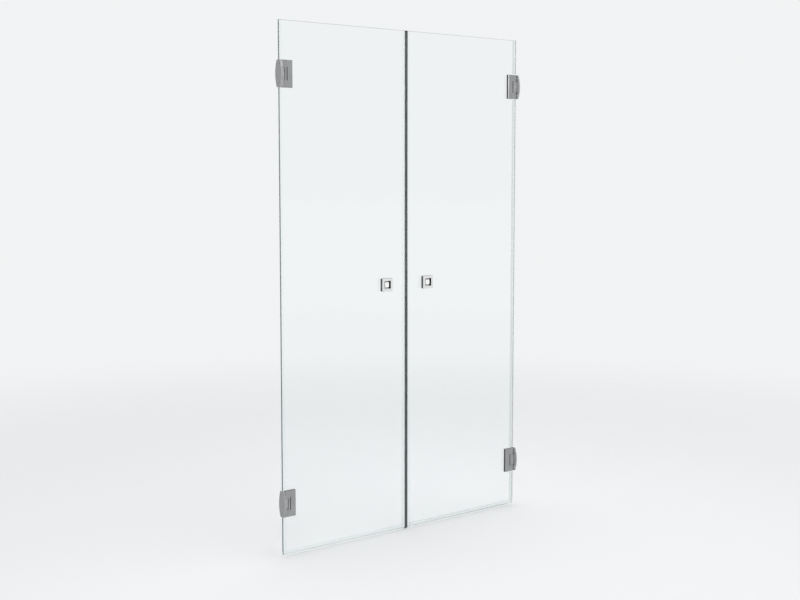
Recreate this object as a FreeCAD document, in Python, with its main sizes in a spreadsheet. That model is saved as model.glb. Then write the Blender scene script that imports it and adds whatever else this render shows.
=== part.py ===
import FreeCAD, Part
import math
import operator
import os

import Sketcher

# A frameless shower screen for a niche: two clear glass doors, each hung from a wall on
# two pin hinges, meeting at a pair of magnet strips in the middle.
# X runs along the doors, Y into the shower and Z up, all in millimetres.
# The origin is on the floor, midway between the walls, in the plane of the hinge pins.
# "Across" is a distance from the nearer wall and "out" a distance from the middle seam.

SIZES = (
    # Whole screen
    ("niche_width", 1200),
    ("screen_height", 2000),
    ("floor_gap", 10),
    ("wall_gap", 7),
    ("seam_gap", 0.6),
    ("overrun", 5),
    # Glass
    ("glass_thickness", 8),
    ("glass_setback", 2),
    ("glass_arris", 0.6),
    ("notch_inset", 4),
    ("notch_knuckle_gap", 2.5),
    ("notch_corner", 6),
    # Hinge places, and the height of its cover and wall plate
    ("hinge_height", 100),
    ("hinge_inset", 195),
    ("pin_inset", 16),
    # Wall plate with its knuckle
    ("plate_thickness", 5),
    ("plate_end_width", 20),
    ("plate_middle_width", 40),
    ("plate_arris", 0.6),
    ("plate_hole", 5.5),
    ("plate_head", 10),
    ("plate_hole_columns", 16),
    ("plate_hole_margin", 14),
    ("knuckle_diameter", 19),
    ("knuckle_height", 40),
    ("knuckle_web", 12),
    ("knuckle_arris", 0.5),
    # Pin, its two grub screws and bushes
    ("pin_diameter", 8),
    ("pin_end_gap", 1),
    ("pin_flat_depth", 0.5),
    ("pin_chamfer", 0.8),
    ("grub_diameter", 5),
    ("grub_spacing", 20),
    ("grub_sink", 0.8),
    ("grub_socket", 2.5),
    ("grub_socket_depth", 2.2),
    ("bush_wall", 1),
    ("bush_end_gap", 1.3),
    ("flange_lip", 1),
    ("flange_thickness", 1.5),
    ("end_float", 0.2),
    ("slide_fit", 0.05),
    # Hinge cover and the base inside it
    ("cover_width", 50),
    ("cover_wall_gap", 7),
    ("cover_face", 10),
    ("cover_wall", 2),
    ("cover_lift", 0.5),
    ("cover_bevel", 2.5),
    ("cover_nose", 8),
    ("cover_fit", 0.3),
    ("slot_length", 50),
    ("slot_width", 3.5),
    ("knuckle_side_gap", 0.7),
    ("knuckle_end_gap", 0.6),
    ("web_gap", 1),
    ("gasket_thickness", 1),
    ("gasket_margin", 0.7),
    ("base_notch_gap", 1),
    # Countersunk clamp screws through the glass, each in a plastic cone
    ("clamp_spacing", 60),
    ("screw_diameter", 6),
    ("screw_head", 13.6),
    ("screw_head_height", 3.8),
    ("screw_tip_gap", 0.5),
    ("screw_socket", 4),
    ("screw_socket_depth", 2.5),
    ("cone_wall", 1.8),
    ("cone_fit", 0.1),
    ("tapped_floor", 1.2),
    # Seals of clear plastic, and the magnets
    ("seal_wall", 1),
    ("seal_clear", 0.2),
    ("seal_leg", 12),
    ("magnet_width", 4.8),
    ("finger_wall", 0.8),
    ("finger_lean", 0.5),
    ("magnet_fit", 0.1),
    ("magnet_floor_gap", 5),
    ("fin_thickness", 1),
    ("fin_tip", 0.5),
    ("lip_reach", 4),
    ("lip_drop", 5),
    ("wall_fin_gap", 0.4),
    ("wall_fin_root", 3),
    ("wall_fin_thickness", 0.7),
    ("wall_seal_break", 4),
    ("seal_end_gap", 0.3),
    # Square knobs
    ("knob_size", 52),
    ("knob_depth", 12),
    ("knob_out", 104),
    ("knob_corner", 2),
    ("knob_edge", 0.8),
    ("recess_size", 31),
    ("recess_depth", 8),
    ("recess_corner", 1.5),
    ("knob_cap_size", 20),
    ("knob_cap_sink", 4),
    ("knob_cap_edge", 0.6),
    ("boss_diameter", 10),
    ("boss_height", 2),
    ("boss_floor", 0.7),
    ("knob_pad_margin", 4),
)

DOORS = (("left", -1), ("right", 1))
LEVELS = (("upper", 1), ("lower", -1))
HEXAGON_ANGLES = (0, 60, 120, 180, 240, 300)
PLANES = {"XY": ("XY_Plane", 1), "XZ": ("XZ_Plane", -1), "YZ": ("YZ_Plane", 1)}
OPERATIONS = {
    "+": operator.add,
    "-": operator.sub,
    "*": operator.mul,
    "/": operator.truediv,
}


class Length:
    """A length in millimetres that also knows the sheet expression behind it."""

    def __init__(self, value, text):
        self.value = value
        self.text = text

    def __add__(self, other):
        return combined(self, "+", other)

    def __radd__(self, other):
        return combined(other, "+", self)

    def __sub__(self, other):
        return combined(self, "-", other)

    def __rsub__(self, other):
        return combined(other, "-", self)

    def __mul__(self, other):
        return combined(self, "*", other)

    def __rmul__(self, other):
        return combined(other, "*", self)

    def __truediv__(self, other):
        return combined(self, "/", other)

    def __neg__(self):
        return combined(0, "-", self)


def as_length(number):
    return number if isinstance(number, Length) else Length(number, f"({number})")


def combined(first, sign, second):
    first, second = as_length(first), as_length(second)
    value = OPERATIONS[sign](first.value, second.value)
    return Length(value, f"({first.text} {sign} {second.text})")


class Sizes:
    """The named sizes of the sheet, each read as an attribute."""


def fill_sheet(doc):
    """Write every size into the document's sheet under its own name."""
    sheet = doc.addObject("Spreadsheet::Sheet", "Sizes")
    sizes = Sizes()
    for row, (name, value) in enumerate(SIZES, start=1):
        sheet.set(f"A{row}", name)
        sheet.set(f"B{row}", str(value))
        sheet.setAlias(f"B{row}", name)
        setattr(sizes, name, Length(value, f"Sizes.{name}"))
    doc.recompute()
    return sizes


# General building steps


def bind(thing, path, length):
    thing.setExpression(path, as_length(length).text)


def origin_plane(body, plane):
    role = PLANES[plane][0]
    return next(f for f in body.Origin.OriginFeatures if f.Role == role)


def new_body(label):
    body = doc.addObject("PartDesign::Body", label)
    body.Label = label
    body.AllowCompound = True
    return body


def new_sketch(body, name, plane, offset):
    """An empty sketch parallel to one of the body's own planes."""
    sketch = body.newObject("Sketcher::SketchObject", name)
    sketch.AttachmentSupport = [(origin_plane(body, plane), "")]
    sketch.MapMode = "FlatFace"
    bind(sketch, "AttachmentOffset.Base.z", offset)
    return sketch


def hold(sketch, kind, spot, length):
    """One sketch dimension, driven by the sheet."""
    length = as_length(length)
    index = sketch.addConstraint(Sketcher.Constraint(kind, *spot, length.value))
    bind(sketch, f"Constraints[{index}]", length)


def hold_point(sketch, spot, point):
    hold(sketch, "DistanceX", spot, point[0])
    hold(sketch, "DistanceY", spot, point[1])


def vector(point):
    x, y = (as_length(c).value for c in point)
    return FreeCAD.Vector(x, y, 0)


def draw_polygon(sketch, points):
    """A closed outline of straight lines, every corner held by two dimensions."""
    first = sketch.GeometryCount
    count = len(points)
    for i, point in enumerate(points):
        line = Part.LineSegment(vector(point), vector(points[(i + 1) % count]))
        sketch.addGeometry(line)
    for i, point in enumerate(points):
        after = first + (i + 1) % count
        sketch.addConstraint(Sketcher.Constraint("Coincident", first + i, 2, after, 1))
        hold_point(sketch, (first + i, 1), point)


def draw_circle(sketch, centre, diameter):
    index = sketch.addGeometry(
        Part.Circle(vector(centre), FreeCAD.Vector(0, 0, 1), diameter.value / 2)
    )
    hold_point(sketch, (index, 3), centre)
    hold(sketch, "Radius", (index,), diameter / 2)


def draw_lens(sketch, half_height, end, middle):
    """An upright plate outline: short straight ends joined by two shallow arcs."""
    bulge = middle - end
    radius = (half_height * half_height + bulge * bulge) / (bulge * 2)
    for side in (1, -1):
        low, high = (end * side, -side * half_height), (end * side, side * half_height)
        belly = Part.Arc(vector(low), vector((middle * side, 0)), vector(high))
        sketch.addGeometry(belly)
        across = (-side * end, side * half_height)
        sketch.addGeometry(Part.LineSegment(vector(high), vector(across)))
    for i in range(4):
        joint = Sketcher.Constraint("Coincident", i, 2, (i + 1) % 4, 1)
        sketch.addConstraint(joint)
    for index, side in ((0, 1), (2, -1)):
        hold_point(sketch, (index, 1), (end * side, -side * half_height))
        hold_point(sketch, (index, 2), (end * side, side * half_height))
        hold(sketch, "DistanceX", (index, 3), (middle - radius) * side)


def draw_slot(sketch, centre_x, half_length, width):
    """An upright slot with round ends."""
    half = width / 2
    reach = half_length - half
    for side, start in ((1, 0), (-1, math.pi)):
        centre = (centre_x, reach * side)
        circle = Part.Circle(vector(centre), FreeCAD.Vector(0, 0, 1), half.value)
        sketch.addGeometry(Part.ArcOfCircle(circle, start, start + math.pi))
        edge_x = centre_x - half * side
        ends = (edge_x, reach * side), (edge_x, -side * reach)
        sketch.addGeometry(Part.LineSegment(vector(ends[0]), vector(ends[1])))
    for i in range(4):
        sketch.addConstraint(Sketcher.Constraint("Tangent", i, 2, (i + 1) % 4, 1))
    for index, side in ((0, 1), (2, -1)):
        hold_point(sketch, (index, 3), (centre_x, reach * side))
        hold(sketch, "Radius", (index,), half)


def checked(feature, volume_before, grows):
    """Recompute a feature and make sure that it added or removed something."""
    doc.recompute()
    change = feature.Shape.Volume - volume_before
    if feature.Shape.isNull() or change == 0 or (change > 0) != grows:
        raise ValueError(f"{feature.Name} changes nothing")
    return feature


def volume_of(body):
    return body.Tip.Shape.Volume if body.Tip else 0


def add_block(body, name, plane, low, high, draw, *shapes):
    """Extrude the shapes between two levels along the plane's axis."""
    before = volume_of(body)
    forward = PLANES[plane][1] > 0
    sketch = new_sketch(body, name + "Sketch", plane, low if forward else -high)
    for shape in shapes:
        draw(sketch, *shape)
    pad = body.newObject("PartDesign::Pad", name)
    pad.Profile = sketch
    bind(pad, "Length", high - low)
    return checked(pad, before, True)


def cut_block(body, name, plane, low, high, draw, *shapes):
    """Cut the shapes away between two levels along the plane's axis."""
    before = volume_of(body)
    forward = PLANES[plane][1] > 0
    sketch = new_sketch(body, name + "Sketch", plane, high if forward else -low)
    for shape in shapes:
        draw(sketch, *shape)
    pocket = body.newObject("PartDesign::Pocket", name)
    pocket.Profile = sketch
    bind(pocket, "Length", high - low)
    return checked(pocket, before, False)


def turned(body, name, plane, offset, axis_x, profile, kind="PartDesign::Revolution"):
    """Turn a profile of (radius, height) points about the line x = axis_x."""
    before = volume_of(body)
    sketch = new_sketch(body, name + "Sketch", plane, offset)
    points = [(axis_x + radius, height) for radius, height in profile]
    draw_polygon(sketch, points)
    foot, top = (axis_x, profile[0][1]), (axis_x, profile[-1][1])
    axis = sketch.addGeometry(Part.LineSegment(vector(foot), vector(top)), True)
    hold_point(sketch, (axis, 1), foot)
    hold_point(sketch, (axis, 2), top)
    feature = body.newObject(kind, name)
    feature.Profile = sketch
    feature.ReferenceAxis = (sketch, ["Axis0"])
    feature.Angle = 360
    return checked(feature, before, kind == "PartDesign::Revolution")


def nearest(shapes, prefix, points):
    """Names of the edges or faces that lie nearest to the points."""
    names = []
    for point in points:
        spot = Part.Vertex(*(as_length(c).value for c in point))
        gaps = [shape.distToShape(spot)[0] for shape in shapes]
        names.append(f"{prefix}{gaps.index(min(gaps)) + 1}")
    return sorted(set(names))


def dressed(body, name, kind, amount, names):
    """Fillet or chamfer the named edges, or all the edges of the named faces."""
    base = body.Tip
    feature = body.newObject(kind, name)
    feature.Base = (base, names)
    path = "Radius" if kind == "PartDesign::Fillet" else "Size"
    bind(feature, path, amount)
    doc.recompute()
    if feature.Shape.isNull() or not feature.Shape.isValid():
        raise ValueError(f"{name} failed")
    return feature


def fillet_edges(body, name, amount, points):
    names = nearest(body.Tip.Shape.Edges, "Edge", points)
    return dressed(body, name, "PartDesign::Fillet", amount, names)


def chamfer_edges(body, name, amount, points):
    names = nearest(body.Tip.Shape.Edges, "Edge", points)
    return dressed(body, name, "PartDesign::Chamfer", amount, names)


def chamfer_faces(body, name, amount, points):
    names = nearest(body.Tip.Shape.Faces, "Face", points)
    return dressed(body, name, "PartDesign::Chamfer", amount, names)


def mirrored_pair(body, name, originals):
    """Repeat features on the other side of the body's own XY plane."""
    mirror = body.newObject("PartDesign::Mirrored", name)
    mirror.Originals = originals
    mirror.MirrorPlane = (origin_plane(body, "XY"), [""])
    body.Tip = mirror
    doc.recompute()
    return mirror


def rectangle(x_range, y_range):
    (x_low, x_high), (y_low, y_high) = x_range, y_range
    return ((x_low, y_low), (x_high, y_low), (x_high, y_high), (x_low, y_high))


def around(centre, half):
    return centre - half, centre + half


def hexagon(centre, across_flats):
    """Corners of a hexagon whose flats are the given distance apart."""
    radius = across_flats / math.sqrt(3)
    corners = []
    for angle in HEXAGON_ANGLES:
        turn = math.radians(angle)
        corner_x = centre[0] + radius * round(math.cos(turn), 6)
        corner_y = centre[1] + radius * round(math.sin(turn), 6)
        corners.append((corner_x, corner_y))
    return corners


def lift(body, height):
    bind(body, "Placement.Base.z", height)
    doc.recompute()


# Places shared by several pieces


class Places:
    """Levels and distances that more than one piece takes from the same sizes."""

    def __init__(self, size):
        self.glass_front = size.glass_setback
        self.glass_back = size.glass_setback + size.glass_thickness
        self.glass_edge_out = (
            size.seam_gap / 2 + size.magnet_width + size.seal_wall + size.seal_clear
        )
        self.glass_middle = (size.screen_height + size.floor_gap) / 2
        self.hinge_rise = (size.screen_height - size.floor_gap) / 2 - size.hinge_inset
        self.base_rear = size.glass_setback - size.gasket_thickness
        self.seal_front = self.glass_front - size.seal_clear - size.seal_wall
        self.seal_back = self.glass_back + size.seal_clear + size.seal_wall
        self.seal_web = size.wall_gap - size.seal_clear - size.seal_wall
        self.arm_foot = size.knuckle_height / 2 + size.end_float + size.flange_thickness
        self.base_near = size.cover_wall_gap + size.cover_wall + size.cover_fit
        self.base_far = size.cover_wall_gap + size.cover_width - size.cover_wall - size.cover_fit
        self.base_front = size.cover_wall + size.cover_fit - size.cover_face
        self.base_half = size.hinge_height / 2 - size.cover_wall - size.cover_fit
        self.notch_half = size.hinge_height / 2 - size.notch_inset
        self.notch_far = size.pin_inset + size.knuckle_diameter / 2 + size.notch_knuckle_gap
        self.pin_half = self.notch_half - size.pin_end_gap
        self.bush_diameter = size.pin_diameter + size.bush_wall * 2
        self.bush_end = self.pin_half - size.bush_end_gap
        self.clamp_across = (self.notch_far + size.cover_wall_gap + size.cover_width) / 2
        self.clamp_end = self.base_front + size.tapped_floor
        self.head_foot = self.glass_back - size.screw_head_height
        self.knob_front = self.base_rear - size.knob_depth
        self.recess_floor = self.knob_front + size.recess_depth
        self.cap_face = self.knob_front + size.knob_cap_sink
        self.boss_top = self.recess_floor - size.boss_height
        self.knob_tapped_end = self.boss_top + size.boss_floor


def across(side, distance):
    """X of a point at a distance from the wall that carries the door."""
    return (size.niche_width / 2 - distance) * side


def out(side, distance):
    """X of a point at a distance from the middle seam."""
    return distance * side


# Pieces of one hinge, built about its own middle height


def wall_plate(label, side):
    """Lens shaped plate on the wall with the knuckle that grips the pin."""
    body = new_body(label)
    wall, front = across(side, 0), across(side, size.plate_thickness)
    low, high = (wall, front) if side < 0 else (front, wall)
    half = size.hinge_height / 2
    outline = (half, size.plate_end_width / 2, size.plate_middle_width / 2)
    add_block(body, "Plate", "YZ", low, high, draw_lens, outline)
    chamfer_faces(body, "PlateArris", size.plate_arris, [(front, 0, 0)])
    holes = [
        (size.plate_hole_columns / 2 * y, (half - size.plate_hole_margin) * z)
        for y in (-1, 1)
        for z in (-1, 1)
    ]
    circles = [(hole, size.plate_hole) for hole in holes]
    cut_block(body, "Holes", "YZ", low, high, draw_circle, *circles)
    rims = [(front, y, z + size.plate_hole / 2) for y, z in holes]
    sink = (size.plate_head - size.plate_hole) / 2
    chamfer_edges(body, "Countersinks", sink, rims)
    axis = (across(side, size.pin_inset), 0)
    half_height, half_web = size.knuckle_height / 2, size.knuckle_web / 2
    web = rectangle((across(side, size.plate_thickness / 2), axis[0]), (-half_web, half_web))
    add_block(body, "Web", "XY", -half_height, half_height, draw_polygon, (web,))
    knuckle = (axis, size.knuckle_diameter)
    add_block(body, "Knuckle", "XY", -half_height, half_height, draw_circle, knuckle)
    rim_y = -size.knuckle_diameter / 2
    rims = [(axis[0], rim_y, half_height), (axis[0], rim_y, -half_height)]
    chamfer_edges(body, "KnuckleArris", size.knuckle_arris, rims)
    bore = (axis, size.pin_diameter + size.slide_fit * 2)
    cut_block(body, "Bore", "XY", -half_height, half_height, draw_circle, bore)
    screws = [((axis[0], size.grub_spacing / 2 * z), size.grub_diameter) for z in (-1, 1)]
    front_y = -size.knuckle_diameter / 2 - size.overrun
    cut_block(body, "ScrewHoles", "XZ", front_y, as_length(0), draw_circle, *screws)
    return body


def pivot_pin(label, side):
    """Steel pin with chamfered ends and a flat for its grub screws."""
    body = new_body(label)
    axis_x = across(side, size.pin_inset)
    radius, half = size.pin_diameter / 2, place.pin_half
    profile = [
        (0, -half),
        (radius - size.pin_chamfer, -half),
        (radius, size.pin_chamfer - half),
        (radius, half - size.pin_chamfer),
        (radius - size.pin_chamfer, half),
        (0, half),
    ]
    turned(body, "Pin", "XZ", 0, axis_x, profile)
    flat = -radius + size.pin_flat_depth
    flat_half = (size.grub_spacing + size.grub_diameter * 2) / 2
    corners = rectangle(around(axis_x, radius + size.overrun), (-radius - size.overrun, flat))
    cut_block(body, "Flat", "XY", -flat_half, flat_half, draw_polygon, (corners,))
    return body


def pin_screws(label, side):
    """Two grub screws in the knuckle that hold the pin by its flat."""
    body = new_body(label)
    axis_x = across(side, size.pin_inset)
    tip = size.pin_flat_depth - size.pin_diameter / 2
    head = size.grub_sink - size.knuckle_diameter / 2
    height = size.grub_spacing / 2
    radius = size.grub_diameter / 2 - size.slide_fit
    screw = turned(body, "Screw", "XY", height, axis_x, tube_profile(0, radius, head, tip))
    socket_end = head + size.grub_socket_depth
    corners = hexagon((axis_x, height), size.grub_socket)
    socket = cut_block(body, "Socket", "XZ", head, socket_end, draw_polygon, (corners,))
    mirrored_pair(body, "OtherScrew", [screw, socket])
    return body


def tube_profile(inner, outer, low, high):
    """Half section of a straight tube or rod for turning."""
    return [(inner, low), (outer, low), (outer, high), (inner, high)]


def bushes(label, side):
    """Two flanged nylon bushes, one in each arm of the base."""
    body = new_body(label)
    inner, outer = size.pin_diameter / 2 + size.slide_fit, place.bush_diameter / 2
    foot = place.arm_foot - size.flange_thickness
    profile = [
        (inner, foot),
        (outer + size.flange_lip, foot),
        (outer + size.flange_lip, place.arm_foot),
        (outer, place.arm_foot),
        (outer, place.bush_end),
        (inner, place.bush_end),
    ]
    bush = turned(body, "Bush", "XZ", 0, across(side, size.pin_inset), profile)
    mirrored_pair(body, "OtherBush", [bush])
    return body


def hinge_base(label, side):
    """Cast base under the cover, with two arms that turn on the pin."""
    body = new_body(label)
    near, far = across(side, place.base_near), across(side, place.base_far)
    slab = rectangle((near, far), (place.base_front, place.base_rear))
    add_block(body, "Slab", "XY", -place.base_half, place.base_half, draw_polygon, (slab,))
    nose = size.cover_nose - size.cover_wall - size.cover_fit
    fillet_edges(body, "Nose", nose, [(near, place.base_front, 0)])
    arm_half = place.notch_half - size.base_notch_gap
    arm_far = across(side, place.notch_far - size.base_notch_gap)
    arm = rectangle((near, arm_far), (place.base_front + nose, place.glass_back))
    add_block(body, "Arms", "XY", -arm_half, arm_half, draw_polygon, (arm,))
    corner_radius = size.notch_corner - size.base_notch_gap
    middle_y = (place.glass_front + place.glass_back) / 2
    corners = [(arm_far, middle_y, z) for z in (-arm_half, arm_half)]
    fillet_edges(body, "ArmCorners", corner_radius, corners)
    axis = (across(side, size.pin_inset), 0)
    room = size.knuckle_diameter / 2 + size.knuckle_side_gap
    opening = rectangle((across(side, 0), axis[0]), (-room, room + size.overrun))
    cut_block(body, "WallSide", "XY", -place.arm_foot, place.arm_foot, draw_polygon, (opening,))
    cut_block(body, "Seat", "XY", -place.arm_foot, place.arm_foot, draw_circle, (axis, room * 2))
    bore = (axis, place.bush_diameter + size.slide_fit * 2)
    cut_block(body, "Bore", "XY", -place.base_half, place.base_half, draw_circle, bore)
    clamps = clamp_circles(side, size.screw_diameter)
    cut_block(body, "Tapped", "XZ", place.clamp_end, place.base_rear, draw_circle, *clamps)
    return body


def hinge_cover(label, side):
    """Thin bevelled box over the base, notched for the knuckle and slotted in front."""
    body = new_body(label)
    half, rear = size.hinge_height / 2, place.glass_front - size.cover_lift
    near = across(side, size.cover_wall_gap)
    far = across(side, size.cover_wall_gap + size.cover_width)
    middle = across(side, size.cover_wall_gap + size.cover_width / 2)
    box = rectangle((near, far), (-size.cover_face, rear))
    add_block(body, "Box", "XY", -half, half, draw_polygon, (box,))
    inner_near = across(side, size.cover_wall_gap + size.cover_wall)
    inner_far = across(side, size.cover_wall_gap + size.cover_width - size.cover_wall)
    inner_half, inner_face = half - size.cover_wall, size.cover_wall - size.cover_face
    hollow = rectangle((inner_near, inner_far), (inner_face, rear + size.overrun))
    cut_block(body, "Hollow", "XY", -inner_half, inner_half, draw_polygon, (hollow,))
    inner_nose = size.cover_nose - size.cover_wall
    fillet_edges(body, "InnerNose", inner_nose, [(inner_near, inner_face, 0)])
    fillet_edges(body, "Nose", size.cover_nose, [(near, -size.cover_face, 0)])
    bevels = [(middle, -size.cover_face, z) for z in (-half, half)]
    bevels.append((far, -size.cover_face, 0))
    chamfer_edges(body, "Bevels", size.cover_bevel, bevels)
    notch_half = size.knuckle_height / 2 + size.knuckle_end_gap
    notch_far = across(side, size.pin_inset + size.knuckle_web / 2 + size.web_gap)
    notch_y = (-size.cover_face - size.overrun, rear + size.overrun)
    notch = rectangle((across(side, 0), notch_far), notch_y)
    cut_block(body, "Notch", "XY", -notch_half, notch_half, draw_polygon, (notch,))
    slot = (middle, size.slot_length / 2, size.slot_width)
    slot_front = -size.cover_face - size.overrun
    cut_block(body, "Slot", "XZ", slot_front, inner_face, draw_slot, slot)
    return body


def hinge_gasket(label, side):
    """Thin pad between the base and the glass."""
    body = new_body(label)
    near = across(side, place.notch_far + size.gasket_margin)
    far = across(side, place.base_far - size.gasket_margin)
    half = place.base_half - size.gasket_margin
    sheet = rectangle((near, far), (-half, half))
    add_block(body, "Pad", "XZ", place.base_rear, place.glass_front, draw_polygon, (sheet,))
    clamps = clamp_circles(side, clearance_diameter())
    cut_block(body, "Holes", "XZ", place.base_rear, place.glass_front, draw_circle, *clamps)
    return body


def clamp_circles(side, diameter):
    """Circles for the two clamp screws of a hinge, about its own middle height."""
    centre_x = across(side, place.clamp_across)
    return [((centre_x, size.clamp_spacing / 2 * z), diameter) for z in (-1, 1)]


def clearance_diameter():
    return size.screw_diameter + size.cone_fit * 2


def cone_radii():
    """Radii of a cone washer: head seat, head rim, outer foot and outer rim."""
    seat = size.screw_diameter / 2 + size.cone_fit
    rim = size.screw_head / 2 + size.cone_fit
    return seat, rim, seat + size.cone_wall, rim + size.cone_wall


def cone_washer_profile():
    """Plastic cone between a countersunk head and the glass."""
    seat, rim, foot, mouth = cone_radii()
    return [
        (seat, place.glass_front),
        (foot, place.glass_front),
        (foot, place.head_foot),
        (mouth, place.glass_back),
        (rim, place.glass_back),
        (seat, place.head_foot),
    ]


def screw_profile(tapped_end):
    """Countersunk screw for a tapped hole, its head flush with the inner face of the glass."""
    shank = size.screw_diameter / 2 - size.slide_fit
    tip = tapped_end + size.screw_tip_gap
    return [
        (0, tip),
        (shank, tip),
        (shank, place.head_foot),
        (size.screw_head / 2, place.glass_back),
        (0, place.glass_back),
    ]


def clamp_screw(body, centre, tapped_end):
    """One clamp screw with its hexagon socket."""
    profile = screw_profile(tapped_end)
    screw = turned(body, "Screw", "XY", centre[1], centre[0], profile)
    socket_foot = place.glass_back - size.screw_socket_depth
    corners = hexagon(centre, size.screw_socket)
    socket = cut_block(
        body, "Socket", "XZ", socket_foot, place.glass_back, draw_polygon, (corners,)
    )
    return [screw, socket]


def hinge_screws(label, side):
    """The two screws that clamp the glass to the base."""
    body = new_body(label)
    centre = (across(side, place.clamp_across), size.clamp_spacing / 2)
    features = clamp_screw(body, centre, place.clamp_end)
    mirrored_pair(body, "OtherScrew", features)
    return body


def hinge_cones(label, side):
    """The plastic cones of the two clamp screws."""
    body = new_body(label)
    axis_x = across(side, place.clamp_across)
    cone = turned(
        body, "Cone", "XY", size.clamp_spacing / 2, axis_x, cone_washer_profile()
    )
    mirrored_pair(body, "OtherCone", [cone])
    return body


HINGE_PIECES = (
    ("wall_plate", wall_plate),
    ("pivot_pin", pivot_pin),
    ("pin_screws", pin_screws),
    ("bushes", bushes),
    ("hinge_base", hinge_base),
    ("hinge_cover", hinge_cover),
    ("hinge_gasket", hinge_gasket),
    ("hinge_screws", hinge_screws),
    ("hinge_cones", hinge_cones),
)


# Pieces of one door, built about the middle height of its glass


def glass_pane(label, side):
    """Toughened pane notched for both hinges and drilled for five countersunk screws."""
    body = new_body(label)
    half = (size.screen_height - size.floor_gap) / 2
    wall_x, seam_x = across(side, size.wall_gap), out(side, place.glass_edge_out)
    notch_x = across(side, place.notch_far)
    points = [(seam_x, -half), (wall_x, -half)]
    for level in (-1, 1):
        middle = place.hinge_rise * level
        foot, top = around(middle, place.notch_half)
        points += [(wall_x, foot), (notch_x, foot), (notch_x, top), (wall_x, top)]
    points += [(wall_x, half), (seam_x, half)]
    add_block(body, "Pane", "XZ", place.glass_front, place.glass_back, draw_polygon, (points,))
    middle_y = (place.glass_front + place.glass_back) / 2
    corners = [
        (notch_x, middle_y, place.hinge_rise * level + place.notch_half * end)
        for level in (-1, 1)
        for end in (-1, 1)
    ]
    fillet_edges(body, "NotchCorners", size.notch_corner, corners)
    centre_x = (wall_x + seam_x) / 2
    faces = [(centre_x, place.glass_front, 0), (centre_x, place.glass_back, 0)]
    chamfer_faces(body, "Arris", size.glass_arris, faces)
    clamp_x, clamp_rise = across(side, place.clamp_across), size.clamp_spacing / 2
    holes = [
        (clamp_x, place.hinge_rise * level + clamp_rise * end)
        for level in (-1, 1)
        for end in (-1, 1)
    ]
    holes.append((out(side, size.knob_out), 0))
    foot, mouth = cone_radii()[2] + size.cone_fit, cone_radii()[3] + size.cone_fit
    profile = [
        (0, place.glass_front - size.overrun),
        (foot, place.glass_front - size.overrun),
        (foot, place.head_foot),
        (mouth, place.glass_back),
        (mouth, place.glass_back + size.overrun),
        (0, place.glass_back + size.overrun),
    ]
    for number, (x, z) in enumerate(holes, start=1):
        turned(body, f"Hole{number}", "XY", z, x, profile, "PartDesign::Groove")
    return body


def strip_levels():
    """Foot and top of the magnet strips, measured from the middle of the glass."""
    return size.magnet_floor_gap - place.glass_middle, size.screen_height - place.glass_middle


def finger_faces():
    """Inner faces of the carrier's two fingers at their root, and the seam level."""
    return place.seal_front + size.finger_wall, place.seal_back - size.finger_wall


def magnet_carrier(label, side):
    """Clear profile on the free edge of the glass that grips the magnet strip."""
    body = new_body(label)
    tip, root = size.seam_gap / 2, size.seam_gap / 2 + size.magnet_width
    web_back = root + size.seal_wall
    end = place.glass_edge_out + size.seal_leg
    front, back = place.seal_front, place.seal_back
    inner_front, inner_back = front + size.seal_wall, back - size.seal_wall
    finger_front, finger_back = finger_faces()
    section = (
        (tip, front),
        (end, front),
        (end, inner_front),
        (web_back, inner_front),
        (web_back, inner_back),
        (end, inner_back),
        (end, back),
        (tip, back),
        (tip, finger_back - size.finger_lean),
        (root, finger_back),
        (root, finger_front),
        (tip, finger_front + size.finger_lean),
    )
    points = [(out(side, x), y) for x, y in section]
    add_block(body, "Profile", "XY", *strip_levels(), draw_polygon, (points,))
    return body


def magnet_strip(label, side):
    """Magnet strip, wider at its root so that the fingers hold it."""
    body = new_body(label)
    tip = size.seam_gap / 2
    root = tip + size.magnet_width - size.magnet_fit
    front, back = (
        finger_faces()[0] + size.magnet_fit,
        finger_faces()[1] - size.magnet_fit,
    )
    section = (
        (tip, front + size.finger_lean),
        (root, front),
        (root, back),
        (tip, back - size.finger_lean),
    )
    points = [(out(side, x), y) for x, y in section]
    add_block(body, "Strip", "XY", *strip_levels(), draw_polygon, (points,))
    return body


def bottom_seal(label, side):
    """Clear channel on the bottom edge with a fin to the floor and a drip lip inside."""
    body = new_body(label)
    foot = size.floor_gap - place.glass_middle
    web_top = foot - size.seal_clear
    web_foot = web_top - size.seal_wall
    leg_top = foot + size.seal_leg
    front, back = place.seal_front, place.seal_back
    middle = (front + back) / 2
    lip_y, lip_z = back + size.lip_reach, web_foot - size.lip_drop
    floor = -place.glass_middle
    section = (
        (front, leg_top),
        (front, web_foot),
        (middle - size.fin_thickness / 2, web_foot),
        (middle - size.fin_tip / 2, floor),
        (middle + size.fin_tip / 2, floor),
        (middle + size.fin_thickness / 2, web_foot),
        (back - size.seal_wall, web_foot),
        (lip_y - size.fin_tip, lip_z),
        (lip_y, lip_z),
        (back, web_top),
        (back, leg_top),
        (back - size.seal_wall, leg_top),
        (back - size.seal_wall, web_top),
        (front + size.seal_wall, web_top),
        (front + size.seal_wall, leg_top),
    )
    wall_x = across(side, size.wall_gap)
    seam_x = out(side, place.glass_edge_out + size.seal_leg + size.seal_end_gap)
    low, high = (wall_x, seam_x) if side < 0 else (seam_x, wall_x)
    add_block(body, "Profile", "YZ", low, high, draw_polygon, (section,))
    return body


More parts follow.
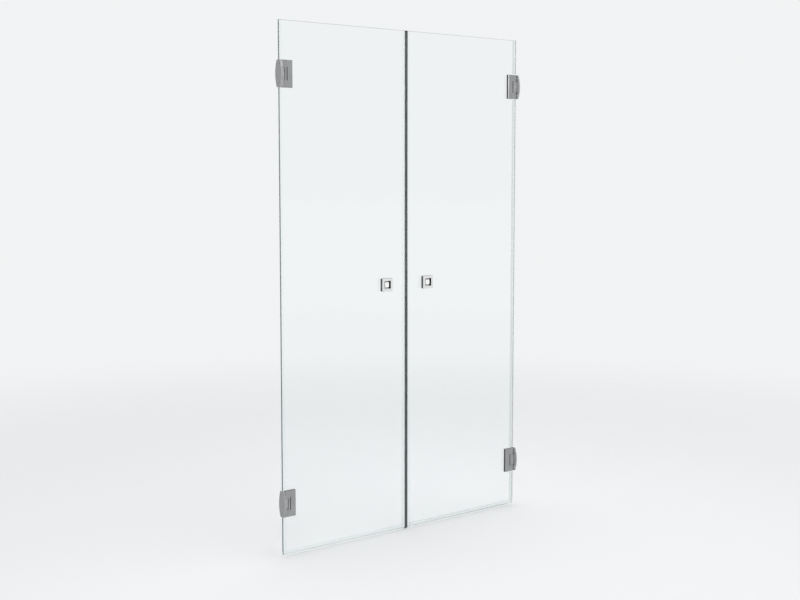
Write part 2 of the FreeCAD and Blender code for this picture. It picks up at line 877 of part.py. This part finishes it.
def wall_seal(label, side):
    """Clear channel on the wall edge of the glass, with a fin, broken at both hinges."""
    body = new_body(label)
    front, back = place.seal_front, place.seal_back
    end = place.seal_web + size.seal_leg
    inner_front, inner_back = front + size.seal_wall, back - size.seal_wall
    web_inner = place.seal_web + size.seal_wall
    root_y = front + size.wall_fin_root
    section = (
        (place.seal_web, front),
        (end, front),
        (end, inner_front),
        (web_inner, inner_front),
        (web_inner, inner_back),
        (end, inner_back),
        (end, back),
        (place.seal_web, back),
        (place.seal_web, root_y + size.wall_fin_thickness),
        (size.wall_fin_gap, front + size.fin_tip),
        (size.wall_fin_gap, front),
        (place.seal_web, root_y),
    )
    points = [(across(side, x), y) for x, y in section]
    foot = size.floor_gap + size.seal_leg + size.seal_end_gap - place.glass_middle
    top = size.screen_height - place.glass_middle
    add_block(body, "Profile", "XY", foot, top, draw_polygon, (points,))
    gap_half = size.hinge_height / 2 + size.wall_seal_break
    gap_x = (across(side, 0), across(side, end + size.overrun))
    for name, level in LEVELS:
        middle = place.hinge_rise * level
        window = rectangle(gap_x, (front - size.overrun, back + size.overrun))
        low, high = around(middle, gap_half)
        cut_block(body, name.title(), "XY", low, high, draw_polygon, (window,))
    return body


def square(side, width):
    """A square about the middle of the knob, in the plane of the glass."""
    return rectangle(around(out(side, size.knob_out), width / 2), (-width / 2, width / 2))


def square_corners(side, width, y):
    """Points on the four corner edges of such a square, at depth y."""
    x_range = around(out(side, size.knob_out), width / 2)
    return [(x, y, z) for x in x_range for z in (-width / 2, width / 2)]


def knob_body(label, side):
    """Square pull with rounded edges, a square recess and a tapped boss in it."""
    body = new_body(label)
    depth = (place.knob_front, place.base_rear)
    add_block(body, "Block", "XZ", *depth, draw_polygon, (square(side, size.knob_size),))
    middle = (place.knob_front + place.base_rear) / 2
    corners = square_corners(side, size.knob_size, middle)
    fillet_edges(body, "Corners", size.knob_corner, corners)
    centre_x = out(side, size.knob_out)
    front_face = [(centre_x, place.knob_front, 0)]
    chamfer_faces(body, "FrontEdge", size.knob_edge, front_face)
    hole = square(side, size.recess_size)
    cut_block(
        body, "Recess", "XZ", place.knob_front, place.recess_floor, draw_polygon, (hole,)
    )
    middle = (place.knob_front + place.recess_floor) / 2
    corners = square_corners(side, size.recess_size, middle)
    fillet_edges(body, "RecessCorners", size.recess_corner, corners)
    centre = (centre_x, as_length(0))
    boss = (centre, size.boss_diameter)
    add_block(body, "Boss", "XZ", place.boss_top, place.base_rear, draw_circle, boss)
    tapped = (centre, size.screw_diameter)
    tapped_end = place.knob_tapped_end
    cut_block(body, "Tapped", "XZ", tapped_end, place.base_rear, draw_circle, tapped)
    return body


def knob_cap(label, side):
    """Small square cap that hides the boss in the recess."""
    body = new_body(label)
    depth = (place.cap_face, place.recess_floor)
    add_block(body, "Cap", "XZ", *depth, draw_polygon, (square(side, size.knob_cap_size),))
    centre_x = out(side, size.knob_out)
    chamfer_faces(body, "Edge", size.knob_cap_edge, [(centre_x, place.cap_face, 0)])
    hole = ((centre_x, as_length(0)), size.boss_diameter + size.slide_fit * 2)
    hole_top = place.boss_top - size.slide_fit
    cut_block(body, "BossHole", "XZ", hole_top, place.recess_floor, draw_circle, hole)
    return body


def knob_pad(label, side):
    """Thin pad between the knob and the glass."""
    body = new_body(label)
    depth = (place.base_rear, place.glass_front)
    pad = square(side, size.knob_size - size.knob_pad_margin * 2)
    add_block(body, "Pad", "XZ", *depth, draw_polygon, (pad,))
    hole = ((out(side, size.knob_out), as_length(0)), clearance_diameter())
    cut_block(body, "Hole", "XZ", *depth, draw_circle, hole)
    return body


def knob_screw(label, side):
    """Countersunk screw that holds the knob from inside the shower."""
    body = new_body(label)
    centre = (out(side, size.knob_out), as_length(0))
    clamp_screw(body, centre, place.knob_tapped_end)
    return body


def knob_cone(label, side):
    """Plastic cone of the knob's screw."""
    body = new_body(label)
    turned(body, "Cone", "XY", 0, out(side, size.knob_out), cone_washer_profile())
    return body


DOOR_PIECES = (
    ("glass_pane", glass_pane),
    ("magnet_carrier", magnet_carrier),
    ("magnet_strip", magnet_strip),
    ("bottom_seal", bottom_seal),
    ("wall_seal", wall_seal),
    ("knob", knob_body),
    ("knob_cap", knob_cap),
    ("knob_pad", knob_pad),
    ("knob_screw", knob_screw),
    ("knob_cone", knob_cone),
)


def build_screen():
    """Every piece of the screen at its place."""
    bodies = []
    for door, side in DOORS:
        for level_name, level in LEVELS:
            for piece, make in HINGE_PIECES:
                body = make(f"{level_name}_{door}_{piece}", side)
                lift(body, place.glass_middle + place.hinge_rise * level)
                bodies.append(body)
        for piece, make in DOOR_PIECES:
            body = make(f"{door}_{piece}", side)
            lift(body, place.glass_middle)
            bodies.append(body)
    return bodies


def check_document(bodies):
    """Stop before anything is written if an object or a piece is not sound."""
    for thing in doc.Objects:
        if "Invalid" in thing.State or "Error" in thing.State:
            raise ValueError(f"{thing.Name} is {thing.State}")
    for body in bodies:
        if body.Shape.isNull() or not body.Shape.isValid() or not body.Shape.Solids:
            raise ValueError(f"{body.Label} has no valid solid")


def write_parts(bodies):
    os.makedirs("parts", exist_ok=True)
    for body in bodies:
        body.Shape.exportStep(f"parts/{body.Label}.step")
        print(body.Label, len(body.Shape.Solids), round(body.Shape.Volume))


doc = FreeCAD.newDocument("shower_screen")
size = fill_sheet(doc)
place = Places(size)
pieces = build_screen()
doc.recompute()
check_document(pieces)
write_parts(pieces)
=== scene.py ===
import math

import bpy
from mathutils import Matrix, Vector


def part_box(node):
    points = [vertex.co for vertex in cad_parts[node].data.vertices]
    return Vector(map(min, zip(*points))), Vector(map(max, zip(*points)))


# The looks of a frameless shower screen: two clear glass doors on satin metal hinges, with
# square pulls and a dark magnet seam, in a plain pale studio.
# Lengths are in metres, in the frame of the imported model: X along the doors, Y into the
# shower and Z up.

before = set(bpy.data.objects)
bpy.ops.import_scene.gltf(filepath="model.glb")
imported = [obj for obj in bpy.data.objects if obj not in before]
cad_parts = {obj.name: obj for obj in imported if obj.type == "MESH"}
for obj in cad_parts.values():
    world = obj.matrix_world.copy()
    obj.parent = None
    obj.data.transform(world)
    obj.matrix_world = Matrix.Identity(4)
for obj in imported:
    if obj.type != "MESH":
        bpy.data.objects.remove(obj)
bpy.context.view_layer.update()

MILLIMETRE = 0.001
RIGHT_ANGLE = math.pi / 2

# Camera, from the photograph: left of the screen, turned to the right and a little down
CAMERA_PLACE = (-3.0950, -3.8348, 1.4485)
CAMERA_YAW = math.radians(38.605)
CAMERA_PITCH = math.radians(5.180)
CAMERA_LENS = 55.720
CAMERA_SHIFT_DOWN = 0.02

# Studio
BACKGROUND = (0.885, 0.895, 0.902)
FILL_STRENGTH = 0.85
FLOOR_COLOUR = (0.82, 0.825, 0.83)
FLOOR_RADIUS = 12.0
FLOOR_FADE = (0.9, 5.2)

# Painted shade on rims, sides, slots, the plate's back and the knob's recess; glass tints and scuffs
RIM_PAINTED_SHADE = (0.06, 0.061, 0.063)
CAP_SIDE_PAINTED_SHADE = (0.05, 0.051, 0.053)
SLOT_PAINTED_SHADE = (0.02, 0.02, 0.021)
PLATE_BACK_PAINTED_SHADE = (0.29, 0.292, 0.295)
RECESS_GREY_PAINTED_SHADE = (0.62, 0.623, 0.628)
RECESS_BLACK_PAINTED_SHADE = (0.004, 0.004, 0.005)
GLASS_EDGE = (0.60, 0.86, 0.78)
GLASS_BODY = (0.55, 0.93, 0.84)
SCUFF_SHADE = 0.9
SCUFF_SHARE = 0.45

# Slot of a hinge cover, and recess of a knob
SLOT_WIDTH = 0.0035
SLOT_LENGTH = 0.050
RECESS_HALF = 0.0157

# A point counts as on a face when it is nearer than a hair, and a face as square to an axis
# from this much of its normal
HAIR = 0.0004
SQUARE_ON = 0.9

# Corners of a box, and axes of a corner
LOW, HIGH = 0, 1
X, Y, Z = 0, 1, 2


def middle(box, axis):
    """Middle of a box along an axis."""
    return (box[LOW][axis] + box[HIGH][axis]) / 2


def half_size(box, axis):
    """Half the size of a box along an axis."""
    return (box[HIGH][axis] - box[LOW][axis]) / 2


# Places of the hinges and knobs, from the frame
UPPER_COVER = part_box("upper_right_hinge_cover")
LOWER_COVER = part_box("lower_right_hinge_cover")
COVER_HALF = half_size(UPPER_COVER, Z)
COVER_FREE_SIDE = UPPER_COVER[LOW][X]
SLOT_ACROSS = middle(UPPER_COVER, X)
MIDDLE_HEIGHT = (UPPER_COVER[LOW][Z] + LOWER_COVER[HIGH][Z]) / 2
HINGE_LEVEL = (UPPER_COVER[HIGH][Z] - LOWER_COVER[LOW][Z]) / 2 - COVER_HALF
WALL_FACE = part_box("upper_right_wall_plate")[HIGH][X]
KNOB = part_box("right_knob")
KNOB_FRONT = KNOB[LOW][Y]
KNOB_OUT = middle(KNOB, X)
KNOB_HEIGHT = middle(KNOB, Z)
CAP_HALF = half_size(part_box("right_knob_cap"), X)


# Node helpers


def new_material(name):
    """An empty node material with its output node."""
    material = bpy.data.materials.new(name)
    material.use_nodes = True
    tree = material.node_tree
    tree.nodes.clear()
    return tree, tree.nodes.new("ShaderNodeOutputMaterial"), material


def principled(tree, output, **values):
    """A Principled shader with constant sockets, wired to the output."""
    shader = tree.nodes.new("ShaderNodeBsdfPrincipled")
    for name, value in values.items():
        shader.inputs[name.replace("_", " ")].default_value = value
    tree.links.new(shader.outputs["BSDF"], output.inputs["Surface"])
    return shader


def shader_of(material):
    """The Principled shader of a finish."""
    nodes = material.node_tree.nodes
    return next(node for node in nodes if node.type == "BSDF_PRINCIPLED")


def place_texture(tree, stretch):
    """Coordinates that stay on the piece as it moves, scaled along each axis."""
    coordinates = tree.nodes.new("ShaderNodeTexCoord")
    mapping = tree.nodes.new("ShaderNodeMapping")
    mapping.inputs["Scale"].default_value = stretch
    tree.links.new(coordinates.outputs["Object"], mapping.inputs["Vector"])
    return mapping.outputs["Vector"]


def noise(tree, stretch, scale, detail=3.0):
    """Noise between 0 and 1, finer along an axis with more stretch."""
    texture = tree.nodes.new("ShaderNodeTexNoise")
    texture.inputs["Scale"].default_value = scale
    texture.inputs["Detail"].default_value = detail
    tree.links.new(place_texture(tree, stretch), texture.inputs["Vector"])
    return texture.outputs["Fac"]


def in_range(tree, value, low, high, source=(0.3, 0.7)):
    """The value carried smoothly from the source range to the range from low to high."""
    carry = tree.nodes.new("ShaderNodeMapRange")
    carry.interpolation_type = "SMOOTHSTEP"
    carry.inputs["From Min"].default_value = source[0]
    carry.inputs["From Max"].default_value = source[1]
    carry.inputs["To Min"].default_value = low
    carry.inputs["To Max"].default_value = high
    tree.links.new(value, carry.inputs["Value"])
    return carry.outputs["Result"]


def mixed_colour(tree, factor, first, second):
    """A colour between two, by a factor socket."""
    mix = tree.nodes.new("ShaderNodeMix")
    mix.data_type = "RGBA"
    tree.links.new(factor, mix.inputs["Factor"])
    for socket, colour in (("A", first), ("B", second)):
        target = next(i for i in mix.inputs if i.name == socket and i.type == "RGBA")
        if isinstance(colour, tuple):
            target.default_value = (*colour, 1.0)
        else:
            tree.links.new(colour, target)
    return next(o for o in mix.outputs if o.type == "RGBA")


def mixed_shader(tree, factor, first, second):
    """A shader between two, by a factor socket."""
    mix = tree.nodes.new("ShaderNodeMixShader")
    tree.links.new(factor, mix.inputs["Fac"])
    tree.links.new(first, mix.inputs[1])
    tree.links.new(second, mix.inputs[2])
    return mix.outputs[0]


def calculated(tree, operation, first, second=None):
    """A Math node's result, from sockets or numbers."""
    node = tree.nodes.new("ShaderNodeMath")
    node.operation = operation
    for index, value in enumerate((first, second)):
        if value is None:
            continue
        if isinstance(value, (int, float)):
            node.inputs[index].default_value = value
        else:
            tree.links.new(value, node.inputs[index])
    return node.outputs[0]


def axis_parts(tree, source):
    """X, Y and Z of the piece's own coordinates or normal."""
    coordinates = tree.nodes.new("ShaderNodeTexCoord")
    parts = tree.nodes.new("ShaderNodeSeparateXYZ")
    tree.links.new(coordinates.outputs[source], parts.inputs[0])
    return parts.outputs


def bump(tree, shader, height, distance, strength):
    """Fine relief on a shader, from a height socket."""
    node = tree.nodes.new("ShaderNodeBump")
    node.inputs["Strength"].default_value = strength
    node.inputs["Distance"].default_value = distance
    tree.links.new(height, node.inputs["Height"])
    tree.links.new(node.outputs["Normal"], shader.inputs["Normal"])


# Masks, which are 1 on a part of a piece and 0 elsewhere


def within(tree, value, middle_value, half):
    """Mask where the value lies no further than half from the middle."""
    away = calculated(tree, "ABSOLUTE", calculated(tree, "SUBTRACT", value, middle_value))
    return calculated(tree, "LESS_THAN", away, half)


def outside(tree, mask):
    """Mask for all that another mask leaves out."""
    return calculated(tree, "SUBTRACT", 1.0, mask)


def both(tree, first, second):
    """Mask where both masks hold. It also scales a mask by a number."""
    return calculated(tree, "MULTIPLY", first, second)


def either(tree, first, second):
    """Mask where one of the masks holds, or the larger of two values."""
    return calculated(tree, "MAXIMUM", first, second)


def facing(tree, axis):
    """Mask for the faces square to an axis."""
    along = calculated(tree, "ABSOLUTE", axis_parts(tree, "Normal")[axis])
    return calculated(tree, "GREATER_THAN", along, SQUARE_ON)


def across_and_up(tree):
    """Distance from the middle of the screen, and height above or below a hinge's middle."""
    place = axis_parts(tree, "Object")
    across = calculated(tree, "ABSOLUTE", place["X"])
    level = calculated(tree, "ABSOLUTE", calculated(tree, "SUBTRACT", place["Z"], MIDDLE_HEIGHT))
    return across, calculated(tree, "SUBTRACT", level, HINGE_LEVEL)


def in_slot(tree):
    """Mask for the upright slot of a hinge cover and what lies behind it."""
    across, up = across_and_up(tree)
    aside = within(tree, across, SLOT_ACROSS, SLOT_WIDTH / 2 + HAIR)
    return both(tree, aside, within(tree, up, 0.0, SLOT_LENGTH / 2 + HAIR))


def on_cover_rim(tree):
    """Mask for the outer sides of a hinge cover and for the walls of its slot."""
    across, up = across_and_up(tree)
    free_side = both(tree, facing(tree, "X"), within(tree, across, COVER_FREE_SIDE, HAIR))
    ends = both(tree, facing(tree, "Z"), outside(tree, within(tree, up, 0.0, COVER_HALF - HAIR)))
    walls = both(tree, in_slot(tree), outside(tree, facing(tree, "Y")))
    return either(tree, either(tree, free_side, ends), walls)


def on_wall_face(tree):
    """Mask for the back of a wall plate, which lies on the wall."""
    across = across_and_up(tree)[0]
    return both(tree, facing(tree, "X"), within(tree, across, WALL_FACE, HAIR))


def on_sides(tree):
    """Mask for the four narrow sides of a knob, its cap or a pane."""
    return either(tree, facing(tree, "X"), facing(tree, "Z"))


def in_recess(tree):
    """Mask for the walls and the floor of the square recess in a knob's face."""
    place = axis_parts(tree, "Object")
    across = calculated(tree, "ABSOLUTE", place["X"])
    mask = calculated(tree, "GREATER_THAN", place["Y"], KNOB_FRONT + HAIR)
    mask = both(tree, mask, within(tree, across, KNOB_OUT, RECESS_HALF))
    return both(tree, mask, within(tree, place["Z"], KNOB_HEIGHT, RECESS_HALF))


def above_and_below_cap(tree):
    """Mask for the recess above, behind and below the cap."""
    across = calculated(tree, "ABSOLUTE", axis_parts(tree, "Object")["X"])
    return both(tree, in_recess(tree), within(tree, across, KNOB_OUT, CAP_HALF))


def beside_cap(tree):
    """Mask for the recess left and right of the cap."""
    return both(tree, in_recess(tree), outside(tree, above_and_below_cap(tree)))


# Finishes


def grained(name, dark, light, rough, stretch, scale, depth, strength, detail=3.0, **values):
    """A finish whose colour, roughness and relief follow one fine grain."""
    tree, output, material = new_material(name)
    shader = principled(tree, output, **values)
    grain = noise(tree, stretch, scale, detail)
    colour = mixed_colour(tree, in_range(tree, grain, 0.0, 1.0), dark, light)
    tree.links.new(colour, shader.inputs["Base Color"])
    tree.links.new(in_range(tree, grain, *rough), shader.inputs["Roughness"])
    bump(tree, shader, grain, depth, strength)
    return material


def plastic(name, dark, light, rough, stretch=(1.0, 1.0, 1.0), ior=1.5):
    """Opaque plastic or rubber with a fine grain."""
    return grained(
        name,
        dark,
        light,
        rough,
        stretch=stretch,
        scale=700.0,
        depth=0.05 * MILLIMETRE,
        strength=0.3,
        IOR=ior,
    )


def brushed_metal(name, dark, light, rough, metallic=1.0):
    """Satin metal with fine upright brushing and slow changes of tone."""
    tree, output, material = new_material(name)
    shader = principled(tree, output, Metallic=metallic)
    lines = noise(tree, stretch=(1.0, 1.0, 0.02), scale=2600.0, detail=4.0)
    clouds = noise(tree, stretch=(1.0, 1.0, 0.6), scale=45.0)
    tone = mixed_colour(tree, in_range(tree, clouds, 0.0, 1.0), dark, light)
    scuffed = tuple(channel * SCUFF_SHADE for channel in dark)
    colour = mixed_colour(tree, in_range(tree, lines, 0.0, SCUFF_SHARE), tone, scuffed)
    tree.links.new(colour, shader.inputs["Base Color"])
    tree.links.new(in_range(tree, lines, *rough), shader.inputs["Roughness"])
    bump(tree, shader, lines, distance=0.02 * MILLIMETRE, strength=0.35)
    return material


def recoloured_where(material, mask_of, colour):
    """Another colour on the part of a finish that a mask picks out."""
    tree = material.node_tree
    base = shader_of(material).inputs["Base Color"]
    mask = mask_of(tree)
    before = base.links[0].from_socket
    tree.links.new(mixed_colour(tree, mask, before, colour), base)
    return material


def painted_shade_where(material, mask_of, shade_colour, shade_rough):
    """Painted shade, matt and not metal, on the part of a finish that a mask picks out."""
    recoloured_where(material, mask_of, shade_colour)
    tree = material.node_tree
    shader = shader_of(material)
    mask = mask_of(tree)
    rough = shader.inputs["Roughness"]
    bare_rough = rough.links[0].from_socket
    tree.links.new(either(tree, bare_rough, both(tree, mask, shade_rough)), rough)
    metallic = shader.inputs["Metallic"]
    bare = metallic.links[0].from_socket if metallic.links else metallic.default_value
    tree.links.new(both(tree, outside(tree, mask), bare), metallic)
    return material


def knob_finish():
    """Bright satin metal with painted shade on its sides, and painted shade in its recess, grey at
    the cap and black beside it.
    """
    material = grained(
        "knob_satin",
        dark=(0.72, 0.725, 0.73),
        light=(0.78, 0.785, 0.79),
        rough=(0.12, 0.22),
        stretch=(1.0, 1.0, 0.05),
        scale=1800.0,
        depth=0.01 * MILLIMETRE,
        strength=0.2,
        detail=4.0,
        Metallic=1.0,
    )
    # Painted shade on the knob's four sides, dark and matt
    painted_shade_where(material, on_sides, RIM_PAINTED_SHADE, shade_rough=0.4)
    # Painted shade in the recess above, behind and below the cap, grey and matt
    painted_shade_where(material, above_and_below_cap, RECESS_GREY_PAINTED_SHADE, shade_rough=0.6)
    # Painted shade in the recess beside the cap, black
    return recoloured_where(material, beside_cap, RECESS_BLACK_PAINTED_SHADE)


def clear_glass(name):
    """Toughened glass with a faint green body, slow waves in its faces and ground edges."""
    tree, output, material = new_material(name)
    shader = principled(tree, output, IOR=1.52, Transmission_Weight=1.0)
    waves = noise(tree, stretch=(1.0, 1.0, 0.35), scale=5.0, detail=1.0)
    film = noise(tree, stretch=(1.0, 1.0, 0.2), scale=14.0)
    tint = mixed_colour(
        tree, in_range(tree, film, 0.0, 1.0), (0.988, 0.995, 0.998), (0.980, 0.990, 0.995)
    )
    edges = on_sides(tree)
    tint = mixed_colour(tree, edges, tint, GLASS_EDGE)
    tree.links.new(tint, shader.inputs["Base Color"])
    polished = in_range(tree, film, 0.0, 0.01)
    ground = both(tree, edges, 0.6)
    tree.links.new(either(tree, polished, ground), shader.inputs["Roughness"])
    bump(tree, shader, waves, distance=0.2 * MILLIMETRE, strength=0.05)
    body = tree.nodes.new("ShaderNodeVolumeAbsorption")
    body.inputs["Color"].default_value = (*GLASS_BODY, 1.0)
    body.inputs["Density"].default_value = 3.0
    tree.links.new(body.outputs["Volume"], output.inputs["Volume"])
    return material


MATERIALS = {
    # Painted shade on the cover's outer sides, its ends and the walls of its slot, dark and matt
    "hinge_cover": painted_shade_where(
        brushed_metal(
            "hinge_satin",
            dark=(0.36, 0.363, 0.368),
            light=(0.41, 0.414, 0.419),
            rough=(0.30, 0.42),
        ),
        on_cover_rim,
        RIM_PAINTED_SHADE,
        shade_rough=0.6,
    ),
    # Painted shade on the back of the wall plate, where it lies on the wall
    "wall_plate": painted_shade_where(
        brushed_metal(
            "plate_satin",
            dark=(0.40, 0.403, 0.407),
            light=(0.45, 0.453, 0.457),
            rough=(0.42, 0.55),
            metallic=0.2,
        ),
        on_wall_face,
        PLATE_BACK_PAINTED_SHADE,
        shade_rough=0.5,
    ),
    "knob": knob_finish(),
    # Painted shade on the cap's four sides
    "knob_cap": painted_shade_where(
        brushed_metal(
            "cap_bright",
            dark=(0.93, 0.932, 0.935),
            light=(0.96, 0.962, 0.965),
            rough=(0.08, 0.14),
        ),
        on_sides,
        CAP_SIDE_PAINTED_SHADE,
        shade_rough=0.6,
    ),
    # Painted shade in the slot of the hinge base
    "hinge_base": painted_shade_where(
        plastic(
            "cast_base",
            dark=(0.24, 0.242, 0.245),
            light=(0.30, 0.302, 0.305),
            rough=(0.45, 0.6),
        ),
        in_slot,
        SLOT_PAINTED_SHADE,
        shade_rough=0.7,
    ),
    "bushes": plastic(
        "nylon", dark=(0.72, 0.73, 0.72), light=(0.80, 0.81, 0.80), rough=(0.35, 0.5)
    ),
    "gasket": plastic(
        "gasket_rubber", dark=(0.03, 0.03, 0.03), light=(0.05, 0.05, 0.05), rough=(0.6, 0.8)
    ),
    "magnet": plastic(
        "magnet_rubber",
        dark=(0.070, 0.074, 0.080),
        light=(0.082, 0.086, 0.092),
        rough=(0.55, 0.65),
        stretch=(1.0, 1.0, 0.02),
        ior=1.3,
    ),
    "seal": grained(
        "clear_seal",
        dark=(0.965, 0.98, 0.98),
        light=(0.98, 0.99, 0.99),
        rough=(0.03, 0.08),
        stretch=(1.0, 1.0, 0.01),
        scale=900.0,
        depth=0.01 * MILLIMETRE,
        strength=0.05,
        IOR=1.25,
        Transmission_Weight=1.0,
    ),
    "steel": grained(
        "steel_hardware",
        dark=(0.55, 0.56, 0.57),
        light=(0.61, 0.62, 0.63),
        rough=(0.20, 0.30),
        stretch=(1.0, 1.0, 3.0),
        scale=2400.0,
        depth=0.01 * MILLIMETRE,
        strength=0.15,
        Metallic=1.0,
    ),
    "glass": clear_glass("clear_glass"),
}

FINISH_OF_PIECE = {
    "wall_plate": "wall_plate",
    "hinge_cover": "hinge_cover",
    "hinge_base": "hinge_base",
    "pivot_pin": "steel",
    "pin_screws": "steel",
    "hinge_screws": "steel",
    "knob_screw": "steel",
    "bushes": "bushes",
    "hinge_cones": "bushes",
    "knob_cone": "bushes",
    "hinge_gasket": "gasket",
    "knob_pad": "gasket",
    "glass_pane": "glass",
    "magnet_carrier": "seal",
    "bottom_seal": "seal",
    "wall_seal": "seal",
    "magnet_strip": "magnet",
    "knob": "knob",
    "knob_cap": "knob_cap",
}

CLEAR_PIECES = ("glass_pane", "magnet_carrier", "bottom_seal", "wall_seal")


def finish_cad_nodes():
    """Give each CAD node the finish of its kind, and let light through the clear ones."""
    for name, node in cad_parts.items():
        piece = max((p for p in FINISH_OF_PIECE if name.endswith(p)), key=len)
        node.data.materials.clear()
        node.data.materials.append(MATERIALS[FINISH_OF_PIECE[piece]])
        if name.endswith(CLEAR_PIECES):
            node.visible_shadow = False


# Studio


def studio_world():
    """Pale surroundings in the view, in metal and in glass, and a softer fill elsewhere."""
    world = bpy.data.worlds.new("studio")
    world.use_nodes = True
    tree = world.node_tree
    tree.nodes.clear()
    output = tree.nodes.new("ShaderNodeOutputWorld")
    path = tree.nodes.new("ShaderNodeLightPath")
    seen = path.outputs["Is Camera Ray"]
    for name in ("Is Glossy Ray", "Is Transmission Ray"):
        seen = either(tree, seen, path.outputs[name])
    backs = []
    for strength in (FILL_STRENGTH, 1.0):
        back = tree.nodes.new("ShaderNodeBackground")
        back.inputs["Color"].default_value = (*BACKGROUND, 1.0)
        back.inputs["Strength"].default_value = strength
        backs.append(back.outputs[0])
    tree.links.new(mixed_shader(tree, seen, *backs), output.inputs["Surface"])
    bpy.context.scene.world = world


def studio_floor():
    """A pale round floor that fades into the surroundings far from the screen."""
    bpy.ops.mesh.primitive_circle_add(
        vertices=128, radius=FLOOR_RADIUS, fill_type="NGON", location=(0.0, 0.0, 0.0)
    )
    floor = bpy.context.object
    floor.name = "studio_floor"
    tree, output, material = new_material("pale_floor")
    pale = tree.nodes.new("ShaderNodeBsdfDiffuse")
    pale.inputs["Color"].default_value = (*FLOOR_COLOUR, 1.0)
    clear = tree.nodes.new("ShaderNodeBsdfTransparent")
    length = tree.nodes.new("ShaderNodeVectorMath")
    length.operation = "LENGTH"
    tree.links.new(place_texture(tree, (1.0, 1.0, 1.0)), length.inputs[0])
    fade = in_range(tree, length.outputs["Value"], 0.0, 1.0, FLOOR_FADE)
    surface = mixed_shader(tree, fade, pale.outputs[0], clear.outputs[0])
    tree.links.new(surface, output.inputs["Surface"])
    floor.data.materials.append(material)


def reflection_card(name, centre, size, turn, tone, edge_share):
    """An upright card that shows only in reflections and fades out at its edges."""
    card_edge = 0.5
    bpy.ops.mesh.primitive_plane_add(size=card_edge * 2, location=centre)
    card = bpy.context.object
    card.name = name
    card.scale = (*size, 1.0)
    card.rotation_euler = (RIGHT_ANGLE, 0.0, turn)
    tree, output, material = new_material(name)
    glow = tree.nodes.new("ShaderNodeEmission")
    glow.inputs["Color"].default_value = (tone, tone, tone, 1.0)
    clear = tree.nodes.new("ShaderNodeBsdfTransparent")
    place = axis_parts(tree, "Object")
    path = tree.nodes.new("ShaderNodeLightPath")
    reflected = 0.5
    cover = calculated(tree, "GREATER_THAN", path.outputs["Glossy Depth"], reflected)
    for axis in ("X", "Y"):
        reach = calculated(tree, "ABSOLUTE", place[axis])
        fade = (card_edge - edge_share, card_edge)
        cover = both(tree, cover, in_range(tree, reach, 1.0, 0.0, fade))
    surface = mixed_shader(tree, cover, clear.outputs[0], glow.outputs[0])
    tree.links.new(surface, output.inputs["Surface"])
    card.data.materials.append(material)
    card.visible_camera = False
    card.visible_diffuse = False
    card.visible_shadow = False


def soft_light(name, place, target, size, power, seen_in_gloss=True):
    """A square soft light aimed at a point."""
    data = bpy.data.lights.new(name, "AREA")
    data.shape = "SQUARE"
    data.size = size
    data.energy = power
    lamp = bpy.data.objects.new(name, data)
    lamp.location = place
    aim = Vector(target) - Vector(place)
    lamp.rotation_euler = aim.to_track_quat("-Z", "Y").to_euler()
    lamp.visible_camera = False
    lamp.visible_glossy = seen_in_gloss
    lamp.visible_transmission = False
    bpy.context.collection.objects.link(lamp)


def photograph_camera():
    """The camera of the photograph."""
    data = bpy.data.cameras.new("camera")
    data.lens = CAMERA_LENS
    data.shift_y = -CAMERA_SHIFT_DOWN
    camera = bpy.data.objects.new("camera", data)
    camera.location = CAMERA_PLACE
    camera.rotation_euler = (RIGHT_ANGLE - CAMERA_PITCH, 0.0, -CAMERA_YAW)
    bpy.context.collection.objects.link(camera)
    bpy.context.scene.camera = camera


finish_cad_nodes()
studio_world()
studio_floor()
reflection_card(
    "bright_card",
    centre=(3.2, -4.2, 0.75),
    size=(4.5, 1.1),
    turn=math.radians(40.0),
    tone=1.06,
    edge_share=0.15,
)
soft_light("key", place=(-3.4, -4.4, 3.0), target=(0.0, 0.0, 1.0), size=2.2, power=60.0)
soft_light(
    "top",
    place=(0.3, -0.6, 4.6),
    target=(0.0, 0.0, 0.8),
    size=3.2,
    power=70.0,
    seen_in_gloss=False,
)
photograph_camera()
bpy.context.scene.view_settings.view_transform = "Standard"
